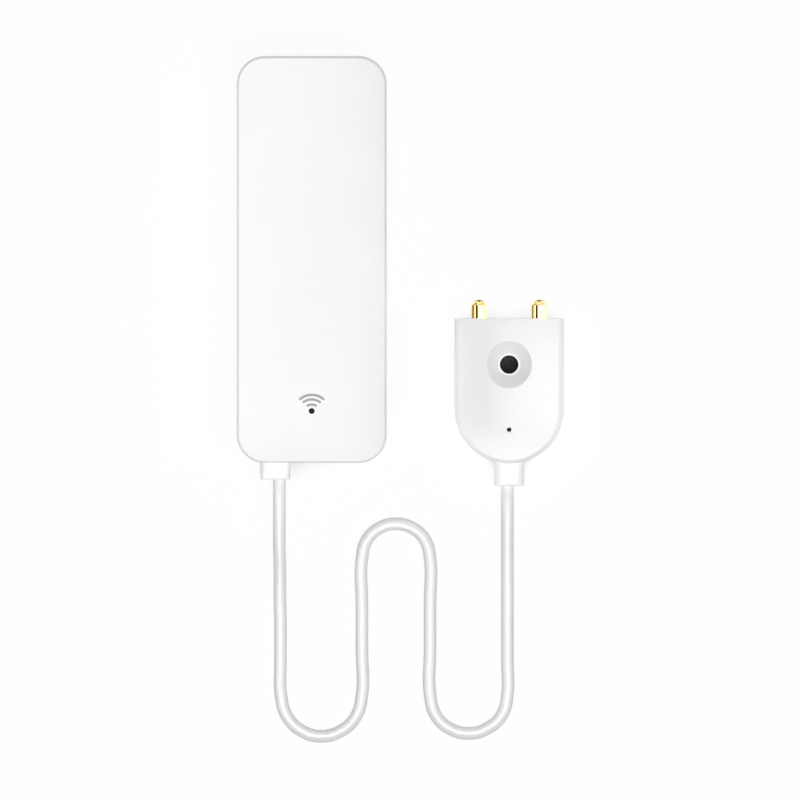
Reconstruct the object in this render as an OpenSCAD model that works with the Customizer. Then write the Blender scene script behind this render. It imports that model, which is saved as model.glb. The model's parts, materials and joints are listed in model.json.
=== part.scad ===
// Water leak sensor: a battery powered main unit, a sensing probe and the cable between them.
// It lies on its back. X runs across it, Y towards the far end, and Z out of the front face.
// The origin is the middle of the main unit's back. All sizes are in millimetres.

/* [Main unit housing] */
// Width of the main unit, across its back
body_w = 26; // [25.5:0.5:32]
// Length of the main unit, along its back
body_l = 70.5; // [70:0.5:90]
// Thickness from the back to the front face
body_t = 19.5; // [19:0.5:26]
// Radius of the four upright corners
corner_r = 4.9; // [3.5:0.1:6]
// Radius where the front face turns into the sides
front_edge_r = 0.35; // [0.2:0.05:1.4]
// How far each side leans in from the back to the front
side_lean = 0.15; // [0.05:0.05:0.5]
// Bevel round the back edge
back_bevel = 0.3; // [0.1:0.1:0.5]
// Thickness of the side walls
wall_t = 1.6; // [1.3:0.1:1.8]
// Thickness of the front wall
front_wall_t = 1.5; // [1:0.1:2]

/* [Battery cover] */
// Thickness of the sliding cover
cover_t = 1.5; // [1.3:0.1:2]
// Width of the rail along each side wall
rail_w = 0.5; // [0.4:0.05:0.7]
// Thickness of the rails
rail_t = 0.7; // [0.5:0.1:0.8]
// Running gap round the sliding cover
slide_gap = 0.15; // [0.1:0.05:0.3]
// Number of grip grooves
grip_count = 5; // [3:1:7]
// Step from one grip groove to the next
grip_pitch = 1.7; // [1.5:0.1:2.5]
// Length of the grip grooves
grip_l = 12; // [8:0.5:16]

/* [Cells and contacts] */
// Diameter of a cell
cell_d = 10.5; // [10.2:0.1:10.6]
// Length of a cell with its nub
cell_l = 44.5; // [44:0.1:44.8]
// Distance between the two cells' axes
cell_pitch = 11; // [10.8:0.1:11.2]
// Diameter of a cell's nub
nub_d = 3.8; // [3:0.1:5]
// Height of a cell's nub
nub_h = 1; // [0.8:0.1:1.5]
// Length of a contact spring, pressed by its cell
spring_l = 4; // [3.6:0.1:4.4]
// Wire thickness of a contact spring
spring_wire_d = 0.5; // [0.4:0.05:0.6]
// Turns of a contact spring
spring_turns = 3; // [2:1:3]
// Sheet thickness of the contact plates
plate_t = 0.35; // [0.2:0.05:0.5]

/* [Electronics] */
// Thickness of the circuit boards
board_t = 0.8; // [0.6:0.1:1]
// Length of the main board
board_l = 53; // [48:0.5:58]
// Distance from the cable end of the main unit to the lens
lens_from_end = 9; // [8:0.1:12]
// Diameter of the lens
lens_d = 0.9; // [0.7:0.05:2]
// Travel of the reset button
reset_travel = 0.3; // [0.2:0.05:0.5]
// Diameter of the reset button
button_d = 2.8; // [2:0.1:3.2]
// Diameter of the tray screws
screw_d = 1.9; // [1.6:0.1:2.2]
// Length of a tray screw under its head
screw_l = 8; // [6:0.5:9]

/* [Probe] */
// Place of the probe's middle line, across the main unit
probe_x = 34.2; // [30:0.1:50]
// Place of the probe's pin end, along the main unit
probe_top_y = -10.2; // [-14:0.1:-4]
// Width of the probe
probe_w = 18.9; // [18.2:0.1:24]
// Length of the probe's straight sides
probe_side_l = 15.7; // [15.2:0.1:20]
// Thickness of the probe at its middle line
probe_t = 8.5; // [8:0.1:11]
// Radius of the probe's front edge
probe_edge_r = 1.1; // [0.5:0.1:1.6]
// Radius of the crown across the probe's front
crown_r = 50; // [40:1:200]
// Thickness of the probe's side walls
probe_wall_t = 1.4; // [1.1:0.1:1.6]
// Thickness of the probe's front wall
probe_front_t = 1.5; // [1:0.1:1.6]
// Thickness of the probe's rear plate
probe_back_t = 1.5; // [1.2:0.1:1.6]
// Diameter of the probe's screw hole
hole_d = 3.2; // [2.8:0.1:3.6]
// Diameter of the countersink at the front face
countersink_d = 8.2; // [7:0.1:9]
// Width of the flat land between the countersink and the screw hole
land_w = 0.3; // [0.1:0.05:0.5]
// Distance from the pin end to the screw hole
hole_from_top = 8; // [7.6:0.1:9]
// Diameter of the pinhole
pinhole_d = 0.75; // [0.5:0.05:1.2]
// Distance from the pin end to the pinhole
pinhole_from_top = 19.3; // [17:0.1:21]

/* [Contact pins] */
// Diameter of a contact pin
pin_d = 2.65; // [2:0.05:2.8]
// Distance between the two pins
pin_pitch = 10.4; // [10.2:0.1:12]
// How far a pin stands out of the probe
pin_reach = 3.2; // [2:0.1:5]
// Height of a pin's domed tip
dome_h = 0.95; // [0.5:0.05:1.1]

/* [Cable and collars] */
// Diameter of the cable
cable_d = 2.2; // [1.8:0.1:2.6]
// Width of the two collars
collar_w = 5.2; // [4.8:0.1:5.4]
// Height of the two collars
collar_h = 4.8; // [4.4:0.1:5]
// Radius of the collars' long edges
collar_r = 1.3; // [0.6:0.1:1.8]
// How far the collar stands out of the main unit's end
body_collar_l = 2.85; // [2:0.05:5]
// How far the collar stands out of the probe's round end
probe_collar_l = 3.85; // [3:0.05:6]
// Place of the main unit's collar, across the back
collar_x = -6.3; // [-6.6:0.1:-5]
// Height of the main unit's collar above the back
collar_z = 6.5; // [5.5:0.1:8]

/* [Hidden] */
$fn = 64;

// Clearances
seat_gap = 0.05;
fit_gap = 0.15;

// How far joined shapes run into each other, and how far cuts run out past a face
bite = 0.4;
over = 1;

// Steps along a rounded edge
edge_steps = 8;

// Inside of the main unit
inner_w = body_w - 2 * wall_t;
inner_l = body_l - 2 * wall_t;
inner_top = body_t - front_wall_t;
inner_r = corner_r - wall_t;

// Battery cover and its rails, where the head fills the housing's round end
head_margin = 0.6;
head_y = body_l / 2 - corner_r - head_margin;
cover_top = cover_t + slide_gap;
rail_inner = inner_w / 2 - rail_w;

// Battery bay, from the far end towards the cable end
end_wall_t = 1.6;
bay_end = inner_l / 2 - fit_gap - end_wall_t;
bay_l = cell_l + spring_l + 2 * plate_t + 2 * seat_gap;
bay_start = bay_end - bay_l;
cell_lift = 0.25;
cell_z = cover_top + cell_lift + cell_d / 2;
cell_clear = 0.25;
tray_side_gap = 0.1;
tray_w = 2 * (rail_inner - tray_side_gap);

// Roof of the tray and the boards above it
roof_z = cell_z + cell_d / 2 + cell_clear;
roof_t = 0.8;
nub_t = 0.25;
roof_nub_d = 1.8;
roof_nub_places = [6, 34];
board_z = roof_z + roof_t + nub_t;
board_top = board_z + board_t;
board_side_gap = 0.4;
board_end_gap = 0.6;
board_w = inner_w - 2 * board_side_gap;
board_start = -inner_l / 2 + board_end_gap;
parts_room = inner_top - board_top;
air_gap = 0.4;

// Ledge at the cable end of the bay, with the screws and the button
ledge_l = 6.4;
ledge_t = 3.65;
ledge_end = bay_start - end_wall_t;
ledge_start = ledge_end - ledge_l;
ledge_top = cover_top + ledge_t;
panel_join = 1.2;
panel_end = ledge_start + panel_join;
cover_start = panel_end + slide_gap;
screw_x = 8.4;
screw_y = (panel_end + ledge_end) / 2;
screw_head_d = 3.8;
screw_head_h = 1.3;
screw_sink = 1.55;
boss_d = 4;

// Reset switch, its plunger and the button
switch_w = 4.5;
switch_h = 3.4;
switch_z = board_z - switch_h;
plunger_d = 2;
plunger_show = 0.5;
plunger_l = 1.3;
button_sink = 0.5;
button_z = cover_top + button_sink;
button_end = switch_z - plunger_show - seat_gap;
flange_d = 4.6;
flange_h = 0.8;

// Collar sizes shared by both ends of the cable
collar_edge = 0.2;
neck_d = 3.2;
collar_flange_d = 4.2;
collar_flange_l = 1;
collar_seat_depth = 0.3;
collar_seat_y = -body_l / 2 + collar_seat_depth;
body_neck_l = wall_t - collar_seat_depth + seat_gap;
lead_d = 0.9;
lead_step = 1.1;
lead_bend = 0.4;

// Lens, light and radio
lens_y = -body_l / 2 + lens_from_end;
lens_flange_d = 2;
lens_flange_h = 0.6;
lens_sink = 0.2;
led_w = 1.6;
led_l = 0.8;
led_h = 0.7;
radio_w = 16;
radio_l = 20;
radio_y = 0;
radio_t = 0.6;
can_w = 13;
can_l = 14;
can_r = 0.6;
can_margin = 1;
can_wall_t = 0.25;
can_h = parts_room - radio_t - air_gap;

// Parts beside the radio: a coil and a capacitor past it, two chips on its near side
parts_gap = 1;
coil_d = 4;
coil_x = 5;
coil_h = parts_room - 2 * air_gap;
capacitor_w = 4;
capacitor_x = -5;
capacitor_h = 1.2;
regulator_w = 3;
regulator_h = 0.9;
chip_w = 4;
chip_l = 4.5;
chip_x = -4.5;
memory_w = 3.2;
memory_l = 2.5;
memory_x = 5.6;
chip_h = 0.8;

// Socket for the leads
socket_w = 3.8;
socket_l = 3.6;
socket_h = 4.2;
header_h = 2.6;
plug_in = 0.3;
socket_from_end = 4;
socket_x = -(screw_x - boss_d / 2 + switch_w / 2) / 2;
socket_y = -inner_l / 2 + socket_from_end + socket_l / 2;

// Probe levels and places
probe_r = probe_w / 2;
probe_mid_y = probe_top_y - probe_side_l;
axis_z = probe_back_t + collar_w / 2 + fit_gap;
crown_z = probe_t - crown_r;
edge_z = crown_z + sqrt(pow(crown_r - probe_edge_r, 2) - pow(probe_r - probe_edge_r, 2));
inner_crown_r = crown_r - probe_front_t;
probe_inner_top = probe_t - probe_front_t;
hole_y = probe_top_y - hole_from_top;
boss_wall = 1.35;
cone_drop = 0.55;
cone_d = hole_d + 2 * land_w;
countersink_h = (countersink_d - cone_d) / 2;
rim_t = 1;
rim_h = 0.8;
probe_board_w = 11;
probe_board_gap = 0.8;
probe_board_end = hole_y - hole_d / 2 - boss_wall - probe_board_gap;
probe_board_l = 8.6;
tail_d = 0.8;
tail_on_board = 2;
probe_board_top = axis_z - tail_d / 2 - seat_gap;
pin_flange_d = 3.5;
pin_flange_l = 1.2;
pin_body_l = 7.6;
seal_d = 0.5;
seal_play = 0.02;
probe_end_y = probe_mid_y - probe_r;
probe_seat_depth = 0.4;
probe_seat_y = probe_end_y + probe_seat_depth;
probe_flange_gap = 0.5;
probe_neck_l = probe_wall_t + probe_flange_gap;
seat_cut_l = 3;

// Route of the cable, from the main unit's collar to the probe's
cable_route = [
    [-5.6, -38.1, 6.5], [-5.6, -41, 6.5], [-5.6, -44.5, 6.2], [-5.6, -49, 5], [-5.5, -54, 3.1],
    [-5.5, -58.5, 1.7], [-5.4, -63, 1.2], [-5.4, -69.5, 1.1], [-5.3, -75.6, 1.1],
    [-4.3, -79.1, 1.1], [-1.8, -81.6, 1.1], [1.7, -82.6, 1.1], [5.2, -81.6, 1.1], [7.7, -79.1, 1.1],
    [8.7, -75.6, 1.1], [8.7, -67.6, 1.1], [8.7, -59.6, 1.1], [8.7, -51.7, 1.1],
    [9.5, -48.7, 1.1], [11.6, -46.6, 1.1], [14.6, -45.8, 1.1], [17.6, -46.6, 1.1], [19.7, -48.7, 1.1],
    [20.5, -51.7, 1.1], [20.5, -59.6, 1.1], [20.5, -67.5, 1.1], [20.5, -75.4, 1.1],
    [21.4, -78.8, 1.1], [23.8, -81.2, 1.1], [27.2, -82.1, 1.1], [30.5, -81.2, 1.1], [33, -78.8, 1.1],
    [33.9, -75.4, 1.1], [33.9, -69.5, 1.1], [33.9, -63.5, 1.1], [33.9, -58, 1.2], [33.9, -53, 2],
    [33.9, -48, 3.3], [33.9, -43.5, 4.2], [33.9, -39.2, 4.2]
];
cable_sides = 8;

// Points on an arc from one angle to another
function arc(centre, r, from, to, steps) = [
    for (i = [0 : steps])
        let (a = from + (to - from) * i / steps)
            centre + r * [cos(a), sin(a)]
];

function unit(v) = v / norm(v);

function heading(path, i) = unit(path[min(i + 1, len(path) - 1)] - path[max(i - 1, 0)]);

// A ring of points square to the path, started from the side that its hint faces
function ring(path, hints, i, r, sides) =
    let (t = heading(path, i))
    let (n = unit(hints[i] - (hints[i] * t) * t))
    let (b = cross(t, n))
    [for (k = [0 : sides - 1]) path[i] + r * (cos(360 * k / sides) * n + sin(360 * k / sides) * b)];

// A closed round tube along a path
module tube(path, hints, d, sides) {
    last = len(path) - 1;
    points = [for (i = [0 : last]) each ring(path, hints, i, d / 2, sides)];
    walls = [
        for (i = [0 : last - 1], k = [0 : sides - 1])
            let (m = (k + 1) % sides)
            each [
                [i * sides + k, (i + 1) * sides + k, i * sides + m],
                [i * sides + m, (i + 1) * sides + k, (i + 1) * sides + m]
            ]
    ];
    ends = [
        for (k = [1 : sides - 2])
            each [[0, k, k + 1], [last * sides, last * sides + k + 1, last * sides + k]]
    ];
    polyhedron(points, concat(walls, ends), convexity = 10);
}

// Path of a spring that narrows as it rises
spring_base_r = 3.4;
spring_tip_r = 2.3;
spring_rings = 8;
spring_sides = 6;
function spring_path(l) = [
    for (i = [0 : spring_turns * spring_rings])
        let (s = i / (spring_turns * spring_rings))
        let (r = spring_base_r + (spring_tip_r - spring_base_r) * s)
        let (a = 360 * i / spring_rings)
        [r * cos(a), r * sin(a), spring_wire_d / 2 + seat_gap + s * (l - spring_wire_d - 2 * seat_gap)]
];
function least_gap(path, d, skip) = min([
    for (i = [0 : len(path) - 1 - skip], j = [i + skip : len(path) - 1]) norm(path[i] - path[j]) - d
]);
echo(spring_least_gap = least_gap(spring_path(spring_l), spring_wire_d, spring_rings - 2));

// Turns a piece's own Z axis to the far end or to the cable end
module to_far_end() {
    rotate([-90, 0, 0]) children();
}

module to_cable_end() {
    rotate([90, 0, 0]) children();
}

module box(x0, x1, y0, y1, z0, z1) {
    translate([x0, y0, z0]) cube([x1 - x0, y1 - y0, z1 - z0]);
}

module rounded_rect(w, l, r) {
    square([w - 2 * r, l], center = true);
    square([w, l - 2 * r], center = true);
    for (x = [-1, 1], y = [-1, 1])
        translate([x * (w / 2 - r), y * (l / 2 - r)]) circle(r);
}

module inner_plan(gap) {
    rounded_rect(inner_w - 2 * gap, inner_l - 2 * gap, inner_r - gap);
}

// A slice of the housing's inner plan between two places along it
module inner_slice(gap, w, y0, y1) {
    intersection() {
        inner_plan(gap);
        translate([-w / 2, y0]) square([w, y1 - y0]);
    }
}

// Section of the housing's edge, from the corner's axis outwards
module housing_section() {
    lean_x = corner_r - side_lean;
    edge_mid = [lean_x - front_edge_r, body_t - front_edge_r];
    polygon(concat(
        [[0, 0], [corner_r - back_bevel, 0], [corner_r, back_bevel]],
        arc(edge_mid, front_edge_r, 0, 90, edge_steps),
        [[0, body_t]]
    ));
}

// The housing's outer form: a leaning wall and a rolled front edge carried round the plan
module housing_form() {
    half_w = body_w / 2 - corner_r;
    half_l = body_l / 2 - corner_r;
    box(-half_w, half_w, -half_l, half_l, 0, body_t);
    for (turn = [0, 180]) rotate(turn) {
        translate([half_w, half_l, 0]) rotate([90, 0, 0]) linear_extrude(2 * half_l) housing_section();
        translate([-half_w, half_l, 0]) rotate([90, 0, 90]) linear_extrude(2 * half_w) housing_section();
        translate([half_w, half_l, 0]) rotate_extrude(angle = 90) housing_section();
        translate([-half_w, half_l, 0]) rotate(90) rotate_extrude(angle = 90) housing_section();
    }
}

module at_screws() {
    for (x = [-screw_x, screw_x]) translate([x, screw_y, 0]) children();
}

module at_cells() {
    for (x = [-1, 1]) translate([x * cell_pitch / 2, 0, cell_z]) children();
}

// Main unit

module front_shell() {
    post_d = 2.4;
    post_in_x = 2.5;
    post_in_y = 3;
    color("white") difference() {
        union() {
            difference() {
                housing_form();
                translate([0, 0, -over]) linear_extrude(inner_top + over) inner_plan(0);
            }
            for (x = [-1, 1])
                translate([x * (rail_inner + (rail_w + bite) / 2), (cover_start + head_y) / 2, rail_t / 2])
                    cube([rail_w + bite, head_y - cover_start, rail_t], center = true);
            at_screws() translate([0, 0, ledge_top + seat_gap])
                cylinder(d = boss_d, h = inner_top - ledge_top - seat_gap + bite);
            for (x = [-1, 1], y = [board_start + post_in_y, board_start + board_l - post_in_y])
                translate([x * (board_w / 2 - post_in_x), y, board_top])
                    cylinder(d = post_d, h = inner_top - board_top + bite);
        }
        box(-body_w, body_w, head_y - slide_gap, body_l, -over, cover_top);
        at_screws() cylinder(d = screw_d + 2 * seat_gap, h = ledge_top + screw_l);
        translate([0, lens_y, inner_top - over])
            cylinder(d = lens_d + 2 * seat_gap, h = front_wall_t + 2 * over);
        translate([collar_x, 0, collar_z]) {
            to_cable_end() cylinder(d = neck_d + 2 * seat_gap, h = body_l);
            translate([0, collar_seat_y, 0]) to_cable_end()
                linear_extrude(collar_seat_depth + over) collar_section(seat_gap);
        }
    }
}

// Concave ribs that hold the cells from above
module cell_ribs() {
    mid_w = 3.2;
    mid_lift = 2.5;
    mid_z = cell_z + mid_lift;
    side_w = 2.8;
    side_lift = 3.2;
    side_h = roof_z + bite - cell_z - side_lift;
    rib_gap = plate_t + fit_gap;
    difference() {
        union() {
            box(-mid_w / 2, mid_w / 2, bay_start + rib_gap, bay_end - rib_gap, mid_z, roof_z + bite);
            for (x = [-1, 1])
                translate([x * (tray_w - side_w) / 2, (bay_start + bay_end) / 2, roof_z + bite - side_h / 2])
                    cube([side_w, bay_l - 2 * rib_gap, side_h], center = true);
        }
        at_cells() translate([0, bay_start - over, 0]) to_far_end()
            cylinder(d = cell_d + 2 * cell_clear, h = bay_l + 2 * over);
    }
}

tail_w = 2;

module battery_tray() {
    slot_gap = 0.2;
    color("gainsboro") difference() {
        union() {
            translate([0, 0, roof_z]) linear_extrude(roof_t)
                inner_slice(fit_gap, tray_w, ledge_end, inner_l / 2);
            translate([0, 0, cover_top]) linear_extrude(roof_z + bite - cover_top)
                inner_slice(fit_gap, tray_w, bay_end, inner_l / 2);
            box(-tray_w / 2, tray_w / 2, ledge_end, bay_start, cover_top, roof_z + bite);
            box(-tray_w / 2, tray_w / 2, ledge_start, ledge_end + bite, cover_top, ledge_top);
            box(-tray_w / 2, tray_w / 2, ledge_start, panel_end, 0, ledge_top);
            linear_extrude(cover_t) inner_slice(fit_gap, inner_w, -inner_l / 2, panel_end);
            cell_ribs();
            for (x = [-1, 1], place = roof_nub_places)
                translate([x * cell_pitch / 2, bay_start + place, roof_z])
                    cylinder(d = roof_nub_d, h = roof_t + nub_t);
        }
        at_screws() {
            translate([0, 0, -over]) cylinder(d = screw_d + 2 * fit_gap, h = body_t);
            translate([0, 0, -over])
                cylinder(d = screw_head_d + 2 * fit_gap, h = cover_top + screw_sink + over);
        }
        translate([0, screw_y, -over]) cylinder(d = button_d + 2 * fit_gap, h = body_t);
        for (x = [-1, 1])
            translate([x * cell_pitch / 2, bay_start + plate_t / 2, roof_z])
                cube([tail_w + 2 * slot_gap, plate_t + 2 * slot_gap, 3 * roof_t], center = true);
    }
}

module battery_cover() {
    groove_d = 1.2;
    groove_depth = 0.45;
    arrow_w = 5;
    arrow_l = 3.5;
    arrow_depth = 0.3;
    grip_y = head_y - grip_count * grip_pitch;
    color("white") difference() {
        union() {
            intersection() {
                housing_form();
                box(-body_w, body_w, head_y, body_l, -over, cover_t);
            }
            box(-rail_inner + slide_gap, rail_inner - slide_gap, cover_start, head_y + bite, 0, cover_t);
            box(-inner_w / 2 + slide_gap, inner_w / 2 - slide_gap, cover_start, head_y + bite,
                rail_t + slide_gap, cover_t);
        }
        for (i = [0 : grip_count - 1])
            translate([-grip_l / 2, grip_y + i * grip_pitch, groove_depth - groove_d / 2])
                rotate([0, 90, 0]) cylinder(d = groove_d, h = grip_l);
        translate([0, grip_y - grip_pitch - arrow_l, -over]) linear_extrude(over + arrow_depth)
            polygon([[-arrow_w / 2, 0], [arrow_w / 2, 0], [0, arrow_l]]);
    }
}

// A cell with its flat end at the origin and its nub up
module cell() {
    edge = 0.4;
    shoulder = cell_l - nub_h;
    rotate_extrude() polygon([
        [0, 0], [cell_d / 2 - edge, 0], [cell_d / 2, edge],
        [cell_d / 2, shoulder - edge], [cell_d / 2 - edge, shoulder],
        [nub_d / 2, shoulder], [nub_d / 2, cell_l], [0, cell_l]
    ]);
}

module cell_left() {
    color("darkslategray")
        translate([-cell_pitch / 2, bay_end - plate_t - seat_gap - cell_l, cell_z]) to_far_end() cell();
}

module cell_right() {
    color("darkslategray")
        translate([cell_pitch / 2, bay_start + plate_t + seat_gap + cell_l, cell_z]) to_cable_end() cell();
}

contact_w = 8.4;
contact_h = 8.4;
contact_r = 1;

// An upright contact plate, from its near face's middle towards the far end
module contact_plate(w) {
    translate([0, plate_t, 0]) rotate([90, 0, 0]) linear_extrude(plate_t)
        rounded_rect(w, contact_h, contact_r);
}

// A contact plate on the bay's near wall with a tail up to the board
module tail_contact() {
    translate([0, bay_start, cell_z]) contact_plate(contact_w);
    translate([-tail_w / 2, bay_start, cell_z]) cube([tail_w, plate_t, board_z - cell_z]);
}

module positive_contact() {
    color("silver") translate([cell_pitch / 2, 0, 0]) tail_contact();
}

module negative_contact() {
    color("silver") translate([-cell_pitch / 2, 0, 0]) tail_contact();
}

module bridge_contact() {
    color("silver") translate([0, bay_end - plate_t, cell_z]) contact_plate(cell_pitch + contact_w);
}

module cell_spring() {
    path = spring_path(spring_l);
    tube(path, [for (p = path) [p.x, p.y, 0]], spring_wire_d, spring_sides);
}

module spring_left() {
    color("silver") translate([-cell_pitch / 2, bay_start + plate_t, cell_z]) to_far_end() cell_spring();
}

module spring_right() {
    color("silver") translate([cell_pitch / 2, bay_end - plate_t, cell_z]) to_cable_end() cell_spring();
}

module main_board() {
    color("darkgreen") translate([0, 0, board_z]) linear_extrude(board_t) difference() {
        inner_slice((inner_w - board_w) / 2, board_w, board_start, board_start + board_l);
        for (x = [-screw_x, screw_x]) translate([x, screw_y]) circle(d = boss_d + 2 * fit_gap);
    }
}

module radio_board() {
    pad_d = 0.8;
    pad_pitch = 2;
    pad_rows = 8;
    pad_margin = 2;
    color("midnightblue") translate([0, radio_y, board_top]) linear_extrude(radio_t) difference() {
        square([radio_w, radio_l], center = true);
        for (x = [-1, 1], i = [0 : pad_rows - 1])
            translate([x * radio_w / 2, -radio_l / 2 + pad_margin + i * pad_pitch]) circle(d = pad_d);
    }
}

module shield_can() {
    can_y = radio_y - (radio_l - can_l) / 2 + can_margin;
    room_w = can_w - 2 * can_wall_t;
    room_l = can_l - 2 * can_wall_t;
    color("lightgray") translate([0, can_y, board_top + radio_t]) difference() {
        linear_extrude(can_h) rounded_rect(can_w, can_l, can_r);
        translate([0, 0, -over]) linear_extrude(can_h - can_wall_t + over)
            rounded_rect(room_w, room_l, can_r - can_wall_t);
    }
}

module status_led() {
    color("ivory") translate([-led_w / 2, lens_y - led_l / 2, board_top]) cube([led_w, led_l, led_h]);
}

// A flat part on the main board, by its middle
module board_part(x, y, w, l, h) {
    translate([x - w / 2, y - l / 2, board_top]) cube([w, l, h]);
}

module board_parts() {
    far_row = radio_y + radio_l / 2 + parts_gap + coil_d / 2;
    near_row = radio_y - radio_l / 2 - parts_gap - chip_l / 2;
    color("dimgray") {
        translate([coil_x, far_row, board_top]) cylinder(d = coil_d, h = coil_h);
        board_part(capacitor_x, far_row, capacitor_w, capacitor_w, capacitor_h);
        board_part(0, far_row, regulator_w, regulator_w, regulator_h);
        board_part(chip_x, near_row, chip_w, chip_l, chip_h);
        board_part(memory_x, near_row, memory_w, memory_l, chip_h);
    }
}

module status_lens() {
    color("black") {
        translate([0, lens_y, inner_top - lens_flange_h - seat_gap])
            cylinder(d = lens_flange_d, h = lens_flange_h);
        translate([0, lens_y, board_top + led_h + seat_gap])
            cylinder(d = lens_d, h = body_t - lens_sink - board_top - led_h - seat_gap);
    }
}

module reset_switch() {
    well_h = plunger_l - plunger_show + reset_travel + seat_gap;
    color("black") difference() {
        translate([-switch_w / 2, screw_y - switch_w / 2, switch_z]) cube([switch_w, switch_w, switch_h]);
        translate([0, screw_y, switch_z - over]) cylinder(d = plunger_d + 2 * seat_gap, h = over + well_h);
    }
}

module switch_plunger() {
    color("dimgray") translate([0, screw_y, switch_z - plunger_show]) cylinder(d = plunger_d, h = plunger_l);
}

module reset_button() {
    dish_r = 6;
    dish_depth = 0.12;
    color("white") translate([0, screw_y, 0]) difference() {
        union() {
            translate([0, 0, button_z]) cylinder(d = button_d, h = button_end - button_z);
            translate([0, 0, ledge_top + seat_gap]) cylinder(d = flange_d, h = flange_h);
        }
        translate([0, 0, button_z + dish_depth - dish_r]) sphere(dish_r);
    }
}

// A header under the board and the leads' plug in it
module lead_socket() {
    plug_w = socket_w - 2 * plug_in;
    plug_l = socket_l - 2 * plug_in;
    color("ivory") translate([socket_x, socket_y, board_z]) {
        translate([-socket_w / 2, -socket_l / 2, -header_h]) cube([socket_w, socket_l, header_h]);
        translate([-plug_w / 2, -plug_l / 2, -socket_h]) cube([plug_w, plug_l, socket_h - header_h + bite]);
    }
}

// Two leads from the collar's inner end, along and then up into the socket's underside
module body_leads() {
    start_y = collar_seat_y + body_neck_l + collar_flange_l;
    end_z = board_z - socket_h;
    turn_r = (end_z - collar_z) / 2;
    color("crimson") for (side = [-1, 1]) {
        start_x = collar_x + side * lead_step / 2;
        end_x = socket_x + side * lead_step / 2;
        path = concat(
            [[start_x, start_y, collar_z], [start_x, start_y + lead_bend, collar_z]],
            [
                for (a = [0 : 30 : 90])
                    [end_x, socket_y - turn_r + turn_r * sin(a), collar_z + turn_r - turn_r * cos(a)]
            ],
            [[end_x, socket_y, end_z - lead_bend], [end_x, socket_y, end_z]]
        );
        tube(path, [for (p = path) [1, 0, 0]], lead_d, cable_sides);
    }
}

module tray_screws() {
    slot_l = 2.7;
    slot_w = 0.5;
    slot_depth = 0.6;
    head_z = cover_top + screw_sink - seat_gap - screw_head_h;
    color("silver") at_screws() translate([0, 0, head_z]) difference() {
        union() {
            cylinder(d = screw_head_d, h = screw_head_h);
            cylinder(d = screw_d, h = screw_head_h + screw_l);
        }
        for (turn = [0, 90]) rotate(turn)
            cube([slot_l, slot_w, 2 * slot_depth], center = true);
    }
}

// A collar's section: flat sides and round edges, with a gap round it for its seat
module collar_section(gap) {
    rounded_rect(collar_w + 2 * gap, collar_h + 2 * gap, collar_r + gap);
}

// Side view of a collar's block, which breaks its far edge
module collar_side(size, reach) {
    side = size / 2 + over;
    shoulder = reach - collar_edge - over;
    tip = size / 2 - collar_edge - over;
    linear_extrude(2 * collar_w, center = true) polygon([
        [-side, -over], [side, -over], [side, shoulder],
        [tip, reach + over], [-tip, reach + over], [-side, shoulder]
    ]);
}

// A strain relief with its shoulder at the origin, standing out along Z
module collar(neck_l, reach) {
    flange_z = -neck_l - collar_flange_l;
    translate([0, 0, flange_z]) cylinder(d = collar_flange_d, h = collar_flange_l);
    translate([0, 0, flange_z]) cylinder(d = neck_d, h = bite - flange_z);
    intersection() {
        linear_extrude(reach) collar_section(0);
        rotate([90, 0, 0]) collar_side(collar_w, reach);
        rotate([90, 0, 90]) collar_side(collar_h, reach);
    }
}

module cable_collar() {
    color("white") translate([collar_x, collar_seat_y, collar_z]) to_cable_end()
        collar(body_neck_l, body_collar_l + collar_seat_depth);
}

module probe_cable() {
    color("white") tube(cable_route, [for (p = cable_route) [0, 0, 1]], cable_d, cable_sides);
}

// Probe

// Draws in the probe's own place: its middle line, where the straight sides meet the round end
module at_probe() {
    translate([probe_x, probe_mid_y, 0]) children();
}

module probe_plan(inset) {
    circle(probe_r - inset);
    translate([-probe_r + inset, 0]) square([2 * (probe_r - inset), probe_side_l - inset]);
}

// Carries a half section along straight sides and round the end
module probe_sweep(side_l) {
    rotate(180) rotate_extrude(angle = 180) children();
    translate([0, side_l, 0]) rotate([90, 0, 0]) linear_extrude(side_l) {
        children();
        mirror([1, 0]) children();
    }
}

// Half section of the shell's outside: a crowned front and a rolled edge
module probe_section() {
    tilt = acos((probe_r - probe_edge_r) / (crown_r - probe_edge_r));
    polygon(concat(
        [[0, probe_back_t], [probe_r, probe_back_t]],
        arc([probe_r - probe_edge_r, edge_z], probe_edge_r, 0, tilt, edge_steps),
        arc([0, crown_z], crown_r, tilt, 90, edge_steps)
    ));
}

// Half section of the shell's hollow, one wall inside the crown
module probe_hollow() {
    hollow_r = probe_r - probe_wall_t;
    side_a = acos(hollow_r / inner_crown_r);
    polygon(concat(
        [[0, probe_back_t - over], [hollow_r, probe_back_t - over]],
        arc([0, crown_z], inner_crown_r, side_a, 90, edge_steps)
    ));
}

module at_pins() {
    for (x = [-1, 1]) translate([x * pin_pitch / 2, probe_side_l, axis_z]) to_far_end() children();
}

module probe_collar_seat() {
    translate([0, probe_seat_y - probe_mid_y, axis_z]) to_cable_end() children();
}

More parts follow.
